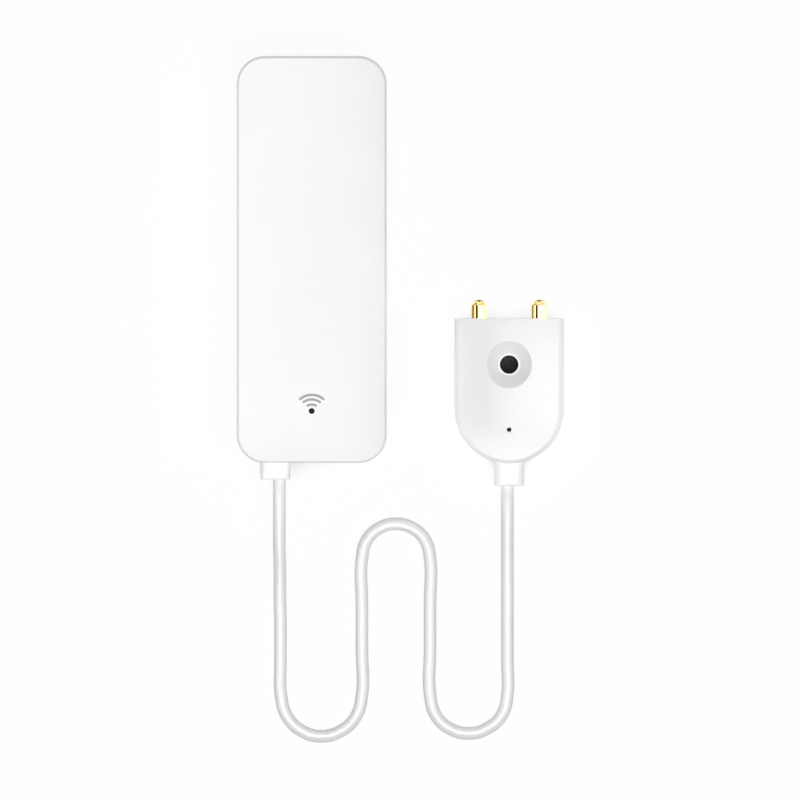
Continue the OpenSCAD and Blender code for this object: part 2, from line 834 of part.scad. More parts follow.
module probe_shell() {
    boss_d = hole_d + 2 * boss_wall;
    cone_z = probe_t - countersink_h;
    color("white") at_probe() difference() {
        union() {
            difference() {
                probe_sweep(probe_side_l) probe_section();
                probe_sweep(probe_side_l - probe_wall_t) probe_hollow();
            }
            translate([0, hole_y - probe_mid_y, 0]) {
                cylinder(d = boss_d, h = probe_inner_top + bite);
                intersection() {
                    translate([0, 0, cone_z - cone_drop])
                        cylinder(d1 = boss_d, d2 = boss_d + 2 * countersink_h, h = countersink_h);
                    cylinder(d = 2 * countersink_d, h = probe_inner_top + bite);
                }
            }
        }
        translate([0, hole_y - probe_mid_y, 0]) {
            translate([0, 0, -over]) cylinder(d = hole_d, h = probe_t + 2 * over);
            translate([0, 0, cone_z]) cylinder(d1 = cone_d, d2 = countersink_d, h = countersink_h);
            translate([0, 0, probe_t]) cylinder(d = countersink_d, h = over);
        }
        translate([0, probe_side_l - pinhole_from_top, probe_inner_top - over])
            cylinder(d = pinhole_d, h = probe_t);
        at_pins() translate([0, 0, -probe_wall_t - over])
            cylinder(d = pin_d + 2 * seat_gap, h = probe_wall_t + 2 * over);
        probe_collar_seat() {
            translate([0, 0, -seat_cut_l]) cylinder(d = neck_d + 2 * seat_gap, h = 2 * seat_cut_l);
            linear_extrude(seat_cut_l) collar_section(seat_gap);
        }
    }
}

// Places of the ribs that carry the pins, from the pin end
saddle_places = [4.2, 9.4];

module probe_back() {
    saddle_w = 4.2;
    saddle_t = 1.2;
    post_d = 1.6;
    post_in_x = 2;
    post_in_y = 1.5;
    color("white") at_probe() difference() {
        union() {
            probe_sweep(probe_side_l) polygon([
                [0, 0], [probe_r - back_bevel, 0], [probe_r, back_bevel],
                [probe_r, probe_back_t], [0, probe_back_t]
            ]);
            linear_extrude(probe_back_t + rim_h) difference() {
                probe_plan(probe_wall_t + fit_gap);
                probe_plan(probe_wall_t + fit_gap + rim_t);
            }
            for (x = [-1, 1], place = saddle_places)
                translate([x * pin_pitch / 2, probe_side_l - place, (probe_back_t + axis_z) / 2])
                    cube([saddle_w, saddle_t, axis_z - probe_back_t + 2 * bite], center = true);
            for (x = [-1, 1], y = [post_in_y, probe_board_l - post_in_y])
                translate([x * (probe_board_w / 2 - post_in_x), probe_board_end - probe_mid_y - y, 0])
                    cylinder(d = post_d, h = probe_board_top - board_t);
        }
        translate([0, hole_y - probe_mid_y, -over])
            cylinder(d = hole_d + 2 * boss_wall + 2 * fit_gap, h = probe_t);
        at_pins() translate([0, 0, -probe_side_l]) cylinder(d = pin_d + 2 * seat_gap, h = probe_side_l);
        at_pins() translate([0, 0, -probe_wall_t - seal_d - pin_flange_l - fit_gap])
            cylinder(d = pin_flange_d + 2 * fit_gap, h = pin_flange_l + seal_d + fit_gap);
        probe_collar_seat() translate([0, 0, -probe_neck_l - collar_flange_l - fit_gap])
            cylinder(d = collar_flange_d + 2 * fit_gap, h = 2 * seat_cut_l);
    }
}

// A pin along Z with its outer wall at the origin: domed tip, body, flange behind the seal, and tail
module contact_pin() {
    dome_r = (pow(pin_d / 2, 2) + pow(dome_h, 2)) / (2 * dome_h);
    dome_a = asin((pin_d / 2) / dome_r);
    flange_z = -probe_wall_t - seal_d - seat_gap;
    tail_z = probe_board_end - tail_on_board - probe_top_y;
    rotate_extrude() polygon(concat(
        arc([0, pin_reach - dome_r], dome_r, 90, 90 - dome_a, edge_steps),
        [
            [pin_d / 2, flange_z], [pin_flange_d / 2, flange_z], [pin_flange_d / 2, flange_z - pin_flange_l],
            [pin_d / 2, flange_z - pin_flange_l], [pin_d / 2, flange_z - pin_body_l],
            [tail_d / 2, flange_z - pin_body_l], [tail_d / 2, tail_z], [0, tail_z]
        ]
    ));
}

module contact_pin_left() {
    color("gold") translate([probe_x - pin_pitch / 2, probe_top_y, axis_z]) to_far_end() contact_pin();
}

module contact_pin_right() {
    color("gold") translate([probe_x + pin_pitch / 2, probe_top_y, axis_z]) to_far_end() contact_pin();
}

module pin_seals() {
    color("black") at_probe() at_pins() translate([0, 0, -probe_wall_t - seal_d / 2])
        rotate_extrude() translate([pin_d / 2 + seal_d / 2 + seat_gap, 0]) circle(d = seal_d - seal_play);
}

module probe_board() {
    color("darkgreen")
        translate([probe_x - probe_board_w / 2, probe_board_end - probe_board_l, probe_board_top - board_t])
            cube([probe_board_w, probe_board_l, board_t]);
}

module probe_collar() {
    color("white") translate([probe_x, probe_seat_y, axis_z]) to_cable_end()
        collar(probe_neck_l, probe_collar_l + probe_seat_y - probe_end_y);
}

module probe_leads() {
    start_y = probe_seat_y + probe_neck_l + collar_flange_l;
    lead_l = 3;
    color("crimson") for (side = [-1, 1])
        translate([probe_x + side * lead_step / 2, start_y, axis_z + (lead_d - tail_d) / 2])
            to_far_end() cylinder(d = lead_d, h = lead_l);
}

front_shell();
battery_tray();
battery_cover();
cell_left();
cell_right();
positive_contact();
negative_contact();
bridge_contact();
spring_left();
spring_right();
main_board();
radio_board();
shield_can();
status_led();
board_parts();
status_lens();
reset_switch();
switch_plunger();
reset_button();
lead_socket();
body_leads();
tray_screws();
cable_collar();
probe_cable();
probe_collar();
probe_shell();
probe_back();
contact_pin_left();
contact_pin_right();
pin_seals();
probe_board();
probe_leads();
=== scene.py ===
"""Looks of the water leak sensor: main unit, probe and cable, laid flat on a white table."""
import json
import math

import bpy
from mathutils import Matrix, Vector


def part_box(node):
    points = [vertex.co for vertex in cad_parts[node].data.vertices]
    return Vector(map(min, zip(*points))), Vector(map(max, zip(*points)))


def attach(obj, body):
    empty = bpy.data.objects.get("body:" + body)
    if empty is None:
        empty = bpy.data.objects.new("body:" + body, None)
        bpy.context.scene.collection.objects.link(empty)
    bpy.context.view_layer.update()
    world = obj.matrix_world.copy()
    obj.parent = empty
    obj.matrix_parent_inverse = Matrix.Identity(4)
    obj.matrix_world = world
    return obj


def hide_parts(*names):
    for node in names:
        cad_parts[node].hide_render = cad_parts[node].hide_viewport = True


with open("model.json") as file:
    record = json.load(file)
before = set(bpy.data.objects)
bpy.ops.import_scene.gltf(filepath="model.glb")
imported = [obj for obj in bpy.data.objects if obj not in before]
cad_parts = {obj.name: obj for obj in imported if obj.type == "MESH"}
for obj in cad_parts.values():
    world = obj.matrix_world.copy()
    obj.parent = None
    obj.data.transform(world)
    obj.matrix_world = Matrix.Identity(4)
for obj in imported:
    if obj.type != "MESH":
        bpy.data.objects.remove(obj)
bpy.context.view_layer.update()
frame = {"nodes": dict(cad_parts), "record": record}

MM = 0.001

# View: straight down on the front faces, with the main unit's far end up
VIEW_WIDTH = 138.58 * MM
VIEW_CENTRE = (15.295 * MM, -24.34 * MM)
CAMERA_HEIGHT = 0.5
CAMERA_REACH = 10

# Cable: its route in millimetres, from the main unit's collar to the probe's
CABLE_D = 2.2 * MM
CABLE_ROUTE = [
    (-5.6, -38.1, 6.5), (-5.6, -41, 6.5), (-5.6, -44.5, 6.2), (-5.6, -49, 5), (-5.5, -54, 3.1),
    (-5.5, -58.5, 1.7), (-5.4, -63, 1.2), (-5.4, -69.5, 1.1), (-5.3, -75.6, 1.1),
    (-4.3, -79.1, 1.1), (-1.8, -81.6, 1.1), (1.7, -82.6, 1.1), (5.2, -81.6, 1.1), (7.7, -79.1, 1.1),
    (8.7, -75.6, 1.1), (8.7, -67.6, 1.1), (8.7, -59.6, 1.1), (8.7, -51.7, 1.1),
    (9.5, -48.7, 1.1), (11.6, -46.6, 1.1), (14.6, -45.8, 1.1), (17.6, -46.6, 1.1), (19.7, -48.7, 1.1),
    (20.5, -51.7, 1.1), (20.5, -59.6, 1.1), (20.5, -67.5, 1.1), (20.5, -75.4, 1.1),
    (21.4, -78.8, 1.1), (23.8, -81.2, 1.1), (27.2, -82.1, 1.1), (30.5, -81.2, 1.1), (33, -78.8, 1.1),
    (33.9, -75.4, 1.1), (33.9, -69.5, 1.1), (33.9, -63.5, 1.1), (33.9, -58, 1.2), (33.9, -53, 2),
    (33.9, -48, 3.3), (33.9, -43.5, 4.2), (33.9, -39.2, 4.2),
]

# Wireless sign printed over the status light: each arc's radius in millimetres and half its angle in
# degrees, how far below the light's middle the arcs turn, their stroke, and the ink's underside and top
SIGN_ARCS = ((1.47, 35.5), (2.36, 40.5), (3.15, 43))
SIGN_DROP = 0.35 * MM
SIGN_STROKE = 0.42
SIGN_INK = (0.002, 0.012)
SIGN_STEPS = 24

# Cells: outline in millimetres from the flat end's middle to the nub's, as radius, height and finish
CELL_SHOULDER = 43.5
CELL_LENGTH = 44.5
CELL_OUTLINE = [
    (0, 0.14, "steel"), (3.4, 0.14, "steel"), (3.6, 0.04, "steel"), (4.3, 0.02, "steel"),
    (4.45, 0.14, "steel"), (4.5, 0.1, "film"), (4.6, 0.03, "film"), (4.9, 0.04, "film"),
    (5.1, 0.12, "film"), (5.21, 0.25, "film"), (5.25, 0.45, "film"), (5.25, 31.4, "line"),
    (5.25, 31.9, "band"), (5.25, CELL_SHOULDER - 0.5, "band"), (5.2, CELL_SHOULDER - 0.25, "band"),
    (5.08, CELL_SHOULDER - 0.08, "band"), (4.85, CELL_SHOULDER, "band"), (4.5, CELL_SHOULDER, "band"),
    (4.4, CELL_SHOULDER - 0.08, "steel"), (3.3, CELL_SHOULDER - 0.08, "steel"),
    (3.15, CELL_SHOULDER - 0.25, "seal"), (2.3, CELL_SHOULDER - 0.25, "steel"),
    (2.05, CELL_SHOULDER - 0.2, "steel"), (1.92, CELL_SHOULDER, "steel"),
    (1.9, CELL_LENGTH - 0.35, "steel"), (1.84, CELL_LENGTH - 0.16, "steel"),
    (1.7, CELL_LENGTH - 0.04, "steel"), (1.45, CELL_LENGTH, "steel"), (0, CELL_LENGTH, "steel"),
]
CELL_SIDES = 72
CELL_SHARP = math.radians(40)

# Springs against the cells' flat ends: wire, radius at the plate and at the cell, turns, and how far the
# end turns are drawn together
SPRING_WIRE = 0.5 * MM
SPRING_RADII = (3.4 * MM, 2.3 * MM)
SPRING_TURNS = 4
SPRING_EASE = 0.35
SPRING_STEPS = 24

# Leads inside the housings: how thick they are, how far apart, and how far they run before they turn
LEAD_D = 0.9 * MM
LEAD_STEP = 1.1 * MM
LEAD_STRAIGHT = 0.4 * MM

# Edges of the CAD nodes: how much is broken off, from which angle on, and what counts as one point and
# one plane
EDGE_BREAK = 0.06 * MM
EDGE_ANGLE = math.radians(32)
WELD_REACH = 1e-7
PLANE_ANGLE = math.radians(0.3)

# Skins: where most of the noise lies, the slow waves of moulded plastic, and how far blotches and marks
# change plated metal's colour and roughness
NOISE_RANGE = (0.3, 0.7)
WAVE_SIZE = 14 * MM
WAVE_RELIEF = 0.02 * MM
BLOTCH_SIZE = 3 * MM
BLOTCH_SHARES = (0.95, 1.03)
MARK_SHARES = (0.8, 1.25)

# Circuit boards: scale of the tracks, their edges in the wave, blocks of one direction, their relief and
# the colour's shares beside and on them, then the lacquer's skin
TRACK_SCALE = 160.0
TRACK_EDGES = (0.72, 0.82)
TRACK_BLOCK = 5 * MM
TRACK_RELIEF = 0.02 * MM
TRACK_SHARES = (0.9, 1.9)
LACQUER_GRAIN = 0.3 * MM
LACQUER_RELIEF = 0.002 * MM
LACQUER_ROUGHNESS = (0.25, 0.35)

# Ink of the sign
INK_TONE = 0.36
INK_GRAIN = 0.12 * MM
INK_RELIEF = 0.004 * MM
INK_SHARES = (0.93, 1.07)
INK_ROUGHNESS = 0.6

# Table: half its width, its level, how much of it takes real shadows, its tone there, and the light it
# throws back. Where something closes it in, the camera sees painted shade on it: how far and with how many
# rays it looks for that, how little sky is dark and how much is open, and the tone of the painted shade
FLOOR_HALF = 1.5
FLOOR_LEVEL = -0.02 * MM
FLOOR_SHADOW = 0.045
FLOOR_TONE = 0.95
FLOOR_BOUNCE = 0.6
FLOOR_REACH = 12 * MM
FLOOR_RAYS = 12
FLOOR_DARK = 0.16
FLOOR_OPEN = 0.4
FLOOR_PAINTED_SHADE = 0.04

# Light from all round
WORLD_FILL = 0.18

# Lamps over and round the table: place and size in metres, power in watts, and what they face
UNIT_MIDDLE = (0, 0, 0.01)
KEY_LAMP = ((0.11, -0.17, 0.8), (0.3, 0.3), 4.65, (*VIEW_CENTRE, 0))
LOW_LEFT_LAMP = ((-0.2, 0.0, 0.06), (0.3, 0.06), 0.06, UNIT_MIDDLE)
LOW_FAR_LAMP = ((0.0, 0.35, 0.1), (0.3, 0.1), 0.11, UNIT_MIDDLE)

# Lamps beside the housings: distance, height, width and depth in millimetres, and power in watts
PROBE_SIDE_LAMP = (6, 7, 26, 10, 0.0004)
PROBE_SOUTH_WEST_LAMP = (6.05, 4, 14, 8, 0.00022)
PROBE_SOUTH_EAST_LAMP = (6.05, 4, 14, 8, 0.0001)
UNIT_SIDE_LAMP = (14, 11, 66, 16, 0.0014)

# Ways that lamps and cards face, and tints
EAST = (1, 0, 0)
WEST = (-1, 0, 0)
UP = (0, 0, 1)
DOWN = (0, 0, -1)
WHITE = (1, 1, 1)
BROWN = (1, 0.8, 0.2)

# Lamps that only gloss shows: place and size in millimetres, tones at the left and right, aim and spread
SHEEN_SPREAD = math.radians(80)
SLOPE_SPREAD = math.radians(56)
SHEEN_LAMPS = {
    "face_sheen": ((-16, 14, 45), (58, 98), (8.9, 4.3), DOWN, SHEEN_SPREAD),
    "probe_sheen": ((44, -23.5, 45), (32, 25), (3.4, 10.5), DOWN, SHEEN_SPREAD),
    "cable_sheen": ((15, -71, 60), (130, 58), (9, 9), DOWN, SHEEN_SPREAD),
    "cable_sheen_west": ((-50, -69, 50), (60, 62), (3.2, 3.2), (1, 0, -1), SHEEN_SPREAD),
    "cable_sheen_east": ((80, -69, 50), (60, 62), (3, 3), (-1, 0, -1), SHEEN_SPREAD),
    "cable_sheen_slope": ((15, -84, 55), (130, 40), (10, 10), (0, 0.57, -0.82), SLOPE_SPREAD),
}

# Cards that the gold pins reflect, in millimetres. Round each pin: place from its axis, its tip and the
# table, size, facing, tones of the front and the back, and tint.
PIN_SHOWN = 3.2
PIN_MIDDLE = -PIN_SHOWN / 2
PIN_CARDS = {
    "line_card": ((-4.9, PIN_MIDDLE, 7.6), (4, 2.4), EAST, 2.0, 3.2, WHITE),
    "dark_card": ((-6.4, PIN_MIDDLE, 15.5), (4, 10.4), EAST, 0, 3.2, WHITE),
    "east_card": ((5.2, PIN_MIDDLE, 2.5), (4, 5), WEST, 2.4, 2.4, WHITE),
    "west_card": ((-5.1, PIN_MIDDLE, 2.5), (4, 5), EAST, 0.45, 2.4, BROWN),
    "tip_card": ((0, 13.5, 0.3), (6, 27), UP, 0.3, 1.0, BROWN),
}

# Cards beside the pins and between them, beyond their tips, and one long card over both, to the east
DOME_CARD = ((0, 12.5, 0.25), (4.4, 27), UP, 2.2, 1.0, WHITE)
OVER_LEAN = math.radians(38)
OVER_DISTANCE = 49
OVER_SHIFT = 3.6
OVER_SIZE = (12, 126)
OVER_TONES = (3.2, 1.0)

scene = bpy.context.scene
scene.view_settings.view_transform = "Standard"


def link(obj):
    scene.collection.objects.link(obj)
    return obj


def make_camera():
    camera = link(bpy.data.objects.new("camera", bpy.data.cameras.new("camera")))
    camera.data.type = "ORTHO"
    camera.data.ortho_scale = VIEW_WIDTH
    camera.data.clip_end = CAMERA_REACH
    camera.location = (*VIEW_CENTRE, CAMERA_HEIGHT)
    scene.camera = camera


def smooth_tube(name, routes, diameter, steps, arcs):
    """Round tubes along lists of points in metres. Each tube has the finish of its number."""
    curve = bpy.data.curves.new(name, "CURVE")
    curve.dimensions = "3D"
    curve.resolution_u = steps
    curve.bevel_depth = diameter / 2
    curve.bevel_resolution = arcs
    curve.use_fill_caps = True
    for number, points in enumerate(routes):
        spline = curve.splines.new("BEZIER")
        spline.material_index = number
        spline.bezier_points.add(len(points) - 1)
        for knot, point in zip(spline.bezier_points, points):
            knot.co = point
            knot.handle_left_type = knot.handle_right_type = "AUTO"
    return link(bpy.data.objects.new(name, curve))


def turned(name, outline, sides, base, axis):
    """A turned solid. Its outline is read in millimetres from the base, along +Y or -Y by axis's sign."""
    finishes = list(dict.fromkeys(finish for _, _, finish in outline))
    points, rings = [], []
    for radius, height, _ in outline:
        turns = [2 * math.pi * i / sides for i in range(sides if radius else 1)]
        rings.append(range(len(points), len(points) + len(turns)))
        points += [
            base + MM * Vector((radius * math.cos(a), axis * height, axis * radius * math.sin(a)))
            for a in turns
        ]
    faces, numbers = [], []
    for (_, _, finish), near, far in zip(outline, rings, rings[1:]):
        for i in range(sides):
            corners = [
                near[i % len(near)], far[i % len(far)], far[(i + 1) % len(far)], near[(i + 1) % len(near)],
            ]
            faces.append(tuple(dict.fromkeys(corners)))
            numbers.append(finishes.index(finish))
    mesh = bpy.data.meshes.new(name)
    mesh.from_pydata(points, [], faces)
    mesh.polygons.foreach_set("material_index", numbers)
    mesh.shade_smooth()
    mesh.set_sharp_from_angle(angle=CELL_SHARP)
    return link(bpy.data.objects.new(name, mesh)), finishes


class Shader:
    """A material's nodes, with short calls for what the finishes share."""

    def __init__(self, name):
        self.material = bpy.data.materials.new(name)
        self.material.use_nodes = True
        self.tree = self.material.node_tree
        self.tree.nodes.clear()
        self.output = self.node("ShaderNodeOutputMaterial")
        self.place = self.node("ShaderNodeTexCoord").outputs["Object"]

    def node(self, kind, inputs=None, **settings):
        made = self.tree.nodes.new(kind)
        for key, value in settings.items():
            setattr(made, key, value)
        for key, value in (inputs or {}).items():
            self.put(made.inputs[key], value)
        return made

    def put(self, socket, value):
        if isinstance(value, bpy.types.NodeSocket):
            self.tree.links.new(value, socket)
        else:
            socket.default_value = value

    def principled(self, **inputs):
        made = self.node("ShaderNodeBsdfPrincipled")
        for key, value in inputs.items():
            self.put(made.inputs[key.replace("_", " ")], value)
        self.put(self.output.inputs["Surface"], made.outputs["BSDF"])

    def noise(self, size, detail=2.0, stretch=(1, 1, 1)):
        """Noise whose features are about size metres across, drawn out by stretch."""
        scaled = self.node("ShaderNodeMapping", {"Vector": self.place})
        scaled.inputs["Scale"].default_value = [1 / (size * s) for s in stretch]
        made = self.node("ShaderNodeTexNoise", {
            "Vector": scaled.outputs["Vector"], "Scale": 1.0, "Detail": detail,
        })
        return made.outputs["Fac"]

    def spread(self, value, low, high):
        """Carries noise from its usual range to low and high."""
        made = self.node("ShaderNodeMapRange", {
            "Value": value, "From Min": NOISE_RANGE[0], "From Max": NOISE_RANGE[1],
            "To Min": low, "To Max": high,
        })
        return made.outputs["Result"]

    def mix(self, factor, first, second):
        """Two colours mixed. The node's sockets for colours share their names, so they go by number."""
        made = self.node("ShaderNodeMix", data_type="RGBA")
        self.put(made.inputs[0], factor)
        self.put(made.inputs[6], first)
        self.put(made.inputs[7], second)
        return made.outputs[2]

    def bump(self, height, depth, base=None):
        """A relief of about depth metres."""
        made = self.node("ShaderNodeBump", {"Height": height, "Distance": depth, "Strength": 1.0})
        if base is not None:
            self.put(made.inputs["Normal"], base)
        return made.outputs["Normal"]


def grey(tone):
    return (tone, tone, tone)


def rgba(colour, gain=1.0):
    return (*(min(1.0, c * gain) for c in colour), 1.0)


def moulded(name, colour, roughness, grain, relief, mottle=0.012, ior=1.5, uneven=0.04):
    """Moulded plastic: a fine skin, slow waves in the surface and slightly uneven colour and gloss."""
    shader = Shader(name)
    skin = shader.noise(grain, detail=3)
    waves = shader.noise(WAVE_SIZE)
    tone = shader.mix(shader.spread(waves, 0, 1), rgba(colour, 1 - mottle), rgba(colour, 1 + mottle))
    dullness = shader.spread(skin, roughness - uneven, roughness + uneven)
    relieved = shader.bump(skin, relief, shader.bump(waves, WAVE_RELIEF))
    shader.principled(Base_Color=tone, Roughness=dullness, IOR=ior, Normal=relieved)
    return shader.material


def plated(name, colour, roughness, grain, relief, stretch=(1, 1, 1)):
    """Polished or brushed metal, with marks drawn out along stretch."""
    shader = Shader(name)
    marks = shader.noise(grain, detail=4, stretch=stretch)
    blotch = shader.noise(BLOTCH_SIZE)
    tone = shader.mix(shader.spread(blotch, 0, 1), *(rgba(colour, share) for share in BLOTCH_SHARES))
    dullness = shader.spread(marks, *(roughness * share for share in MARK_SHARES))
    shader.principled(Base_Color=tone, Metallic=1.0, Roughness=dullness, Normal=shader.bump(marks, relief))
    return shader.material


def solder_mask(name, colour):
    """Lacquer over copper tracks that run along and across the board."""
    shader = Shader(name)
    runs = []
    for direction in ("X", "Y"):
        bands = shader.node("ShaderNodeTexWave", {
            "Vector": shader.place, "Scale": TRACK_SCALE, "Distortion": 0.0,
        }, bands_direction=direction)
        runs.append(shader.node("ShaderNodeMapRange", {
            "Value": bands.outputs["Fac"], "From Min": TRACK_EDGES[0], "From Max": TRACK_EDGES[1],
        }).outputs["Result"])
    blocks = shader.spread(shader.noise(TRACK_BLOCK, detail=0), 0, 1)
    tracks = shader.mix(blocks, *runs)
    skin = shader.noise(LACQUER_GRAIN, detail=3)
    shader.principled(
        Base_Color=shader.mix(tracks, *(rgba(colour, share) for share in TRACK_SHARES)),
        Roughness=shader.spread(skin, *LACQUER_ROUGHNESS),
        Normal=shader.bump(tracks, TRACK_RELIEF, shader.bump(skin, LACQUER_RELIEF)),
    )
    return shader.material


def ink(name, colour):
    """A thin matt print that breaks up slightly at its grain."""
    shader = Shader(name)
    grain = shader.noise(INK_GRAIN, detail=4)
    tone = shader.mix(shader.spread(grain, 0, 1), *(rgba(colour, share) for share in INK_SHARES))
    shader.principled(Base_Color=tone, Roughness=INK_ROUGHNESS, Normal=shader.bump(grain, INK_RELIEF))
    return shader.material


def dress(node, material):
    """Gives a node its finish, smooth faces and slightly broken edges."""
    obj = frame["nodes"][node]
    obj.data.materials.clear()
    obj.data.materials.append(material)
    for face in obj.data.polygons:
        face.use_smooth = True
    weld = obj.modifiers.new("weld", "WELD")
    weld.merge_threshold = WELD_REACH
    planes = obj.modifiers.new("planes", "DECIMATE")
    planes.decimate_type = "DISSOLVE"
    planes.angle_limit = PLANE_ANGLE
    bevel = obj.modifiers.new("edges", "BEVEL")
    bevel.width = EDGE_BREAK
    bevel.segments = 2
    bevel.limit_method = "ANGLE"
    bevel.angle_limit = EDGE_ANGLE
    bevel.use_clamp_overlap = False
    bevel.harden_normals = True
    normals = obj.modifiers.new("normals", "WEIGHTED_NORMAL")
    normals.keep_sharp = True


def make_cable():
    points = [Vector(p) * MM for p in CABLE_ROUTE]
    cable = smooth_tube("cable", [points], CABLE_D, steps=16, arcs=12)
    cable.data.materials.append(moulded(
        "cable_jacket", grey(0.86), roughness=0.26, grain=0.8 * MM, relief=0.0002 * MM, uneven=0.01,
    ))
    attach(cable, "main_unit")
    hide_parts("probe_cable")


def make_cells(nickel):
    film = {"grain": 0.4 * MM, "relief": 0.0015 * MM}
    looks = {
        "steel": nickel,
        "film": moulded("cell_film", (0.1, 0.13, 0.17), roughness=0.26, mottle=0.06, **film),
        "line": moulded("cell_line", grey(0.03), roughness=0.3, mottle=0.06, **film),
        "band": moulded("cell_band", (0.56, 0.58, 0.6), roughness=0.26, mottle=0.03, **film),
        "seal": moulded(
            "cell_seal", (0.5, 0.5, 0.48), roughness=0.6, grain=0.2 * MM, relief=0.004 * MM, mottle=0.05,
        ),
    }
    for side, axis in (("left", 1), ("right", -1)):
        low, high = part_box(f"cell_{side}")
        middle = (low + high) / 2
        base = Vector((middle.x, low.y if axis > 0 else high.y, middle.z))
        cell, finishes = turned(f"turned_cell_{side}", CELL_OUTLINE, CELL_SIDES, base, axis)
        for finish in finishes:
            cell.data.materials.append(looks[finish])
        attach(cell, "main_unit")
        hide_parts(f"cell_{side}")


def spring_route(base, axis, length):
    """Points along a spring that narrows from its plate to its cell, with its end turns drawn together."""
    count = SPRING_TURNS * SPRING_STEPS
    wide, narrow = SPRING_RADII
    route = []
    for i in range(count + 1):
        share = i / count
        eased = share - SPRING_EASE * math.sin(2 * math.pi * share) / (2 * math.pi)
        height = SPRING_WIRE / 2 + eased * (length - SPRING_WIRE)
        radius = wide + (narrow - wide) * share
        turn = 2 * math.pi * i / SPRING_STEPS
        across, up = radius * math.cos(turn), radius * math.sin(turn)
        route.append(base + Vector((across, axis * height, axis * up)))
    return route


def make_springs(nickel):
    for side, axis in (("left", 1), ("right", -1)):
        low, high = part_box(f"spring_{side}")
        cell_low, cell_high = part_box(f"cell_{side}")
        middle = (cell_low + cell_high) / 2
        base = Vector((middle.x, low.y if axis > 0 else high.y, middle.z))
        route = spring_route(base, axis, high.y - low.y)
        spring = smooth_tube(f"wound_spring_{side}", [route], SPRING_WIRE, steps=2, arcs=3)
        spring.data.materials.append(nickel)
        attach(spring, "main_unit")
        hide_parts(f"spring_{side}")


def make_leads():
    """The pairs of leads in the main unit, from its collar up into the socket, and in the probe."""
    skin = {"roughness": 0.4, "grain": 0.2 * MM, "relief": 0.002 * MM}
    jackets = [
        moulded("red_lead", (0.55, 0.04, 0.04), mottle=0.05, **skin),
        moulded("black_lead", grey(0.03), mottle=0.1, **skin),
    ]
    collar_low, collar_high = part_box("cable_collar")
    socket_low, socket_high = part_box("lead_socket")
    start = (collar_low + collar_high) / 2
    start.y = collar_high.y
    end = (socket_low + socket_high) / 2
    end.z = socket_low.z
    rise = (end.z - start.z) / 2
    bend = rise * (1 - math.sqrt(0.5))
    turn = Vector((end.x, end.y - bend, start.z + bend))
    probe_low, probe_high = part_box("probe_leads")
    along = (probe_low + probe_high) / 2
    routes = {"body_leads": [], "probe_leads": []}
    for side in (-1, 1):
        shift = Vector((side * LEAD_STEP / 2, 0, 0))
        routes["body_leads"].append([
            start + shift, start + shift + Vector((0, LEAD_STRAIGHT, 0)), turn + shift,
            Vector((end.x, end.y, end.z - rise)) + shift, end + shift,
        ])
        routes["probe_leads"].append([
            Vector((along.x, y, along.z)) + shift for y in (probe_low.y, along.y, probe_high.y)
        ])
    for node, pair in routes.items():
        leads = smooth_tube(f"pair_of_{node}", pair, LEAD_D, steps=8, arcs=5)
        for jacket in jackets:
            leads.data.materials.append(jacket)
        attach(leads, "main_unit")
        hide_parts(node)


def sign_arc(radius, degrees, centre, top):
    """Vertices and faces of one printed stroke: a flat arc with square ends."""
    spread = math.radians(degrees)
    turns = [math.pi / 2 - spread + 2 * spread * i / SIGN_STEPS for i in range(SIGN_STEPS + 1)]
    edges = (radius - SIGN_STROKE / 2, radius + SIGN_STROKE / 2)
    points = [
        (centre.x + r * MM * math.cos(a), centre.y + r * MM * math.sin(a), top + z * MM)
        for a in turns for r in edges for z in SIGN_INK
    ]
    faces = [(0, 2, 3, 1)]
    for i in range(SIGN_STEPS):
        low_in, high_in, low_out, high_out = range(4 * i, 4 * i + 4)
        faces += [
            (high_in, high_out, high_out + 4, high_in + 4), (low_in, low_in + 4, low_out + 4, low_out),
            (low_in, high_in, high_in + 4, low_in + 4), (low_out, low_out + 4, high_out + 4, high_out),
        ]
    last = 4 * SIGN_STEPS
    faces.append((last, last + 1, last + 3, last + 2))
    return points, faces


def make_sign():
    low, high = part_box("status_lens")
    centre = (low + high) / 2
    centre.y -= SIGN_DROP
    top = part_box("front_shell")[1].z
    points, faces = [], []
    for radius, degrees in SIGN_ARCS:
        more_points, more_faces = sign_arc(radius, degrees, centre, top)
        faces += [tuple(i + len(points) for i in face) for face in more_faces]
        points += more_points
    mesh = bpy.data.meshes.new("wireless_sign")
    mesh.from_pydata(points, [], faces)
    sign = link(bpy.data.objects.new("wireless_sign", mesh))
    mesh.materials.append(ink("grey_ink", grey(INK_TONE)))
    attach(sign, "main_unit")


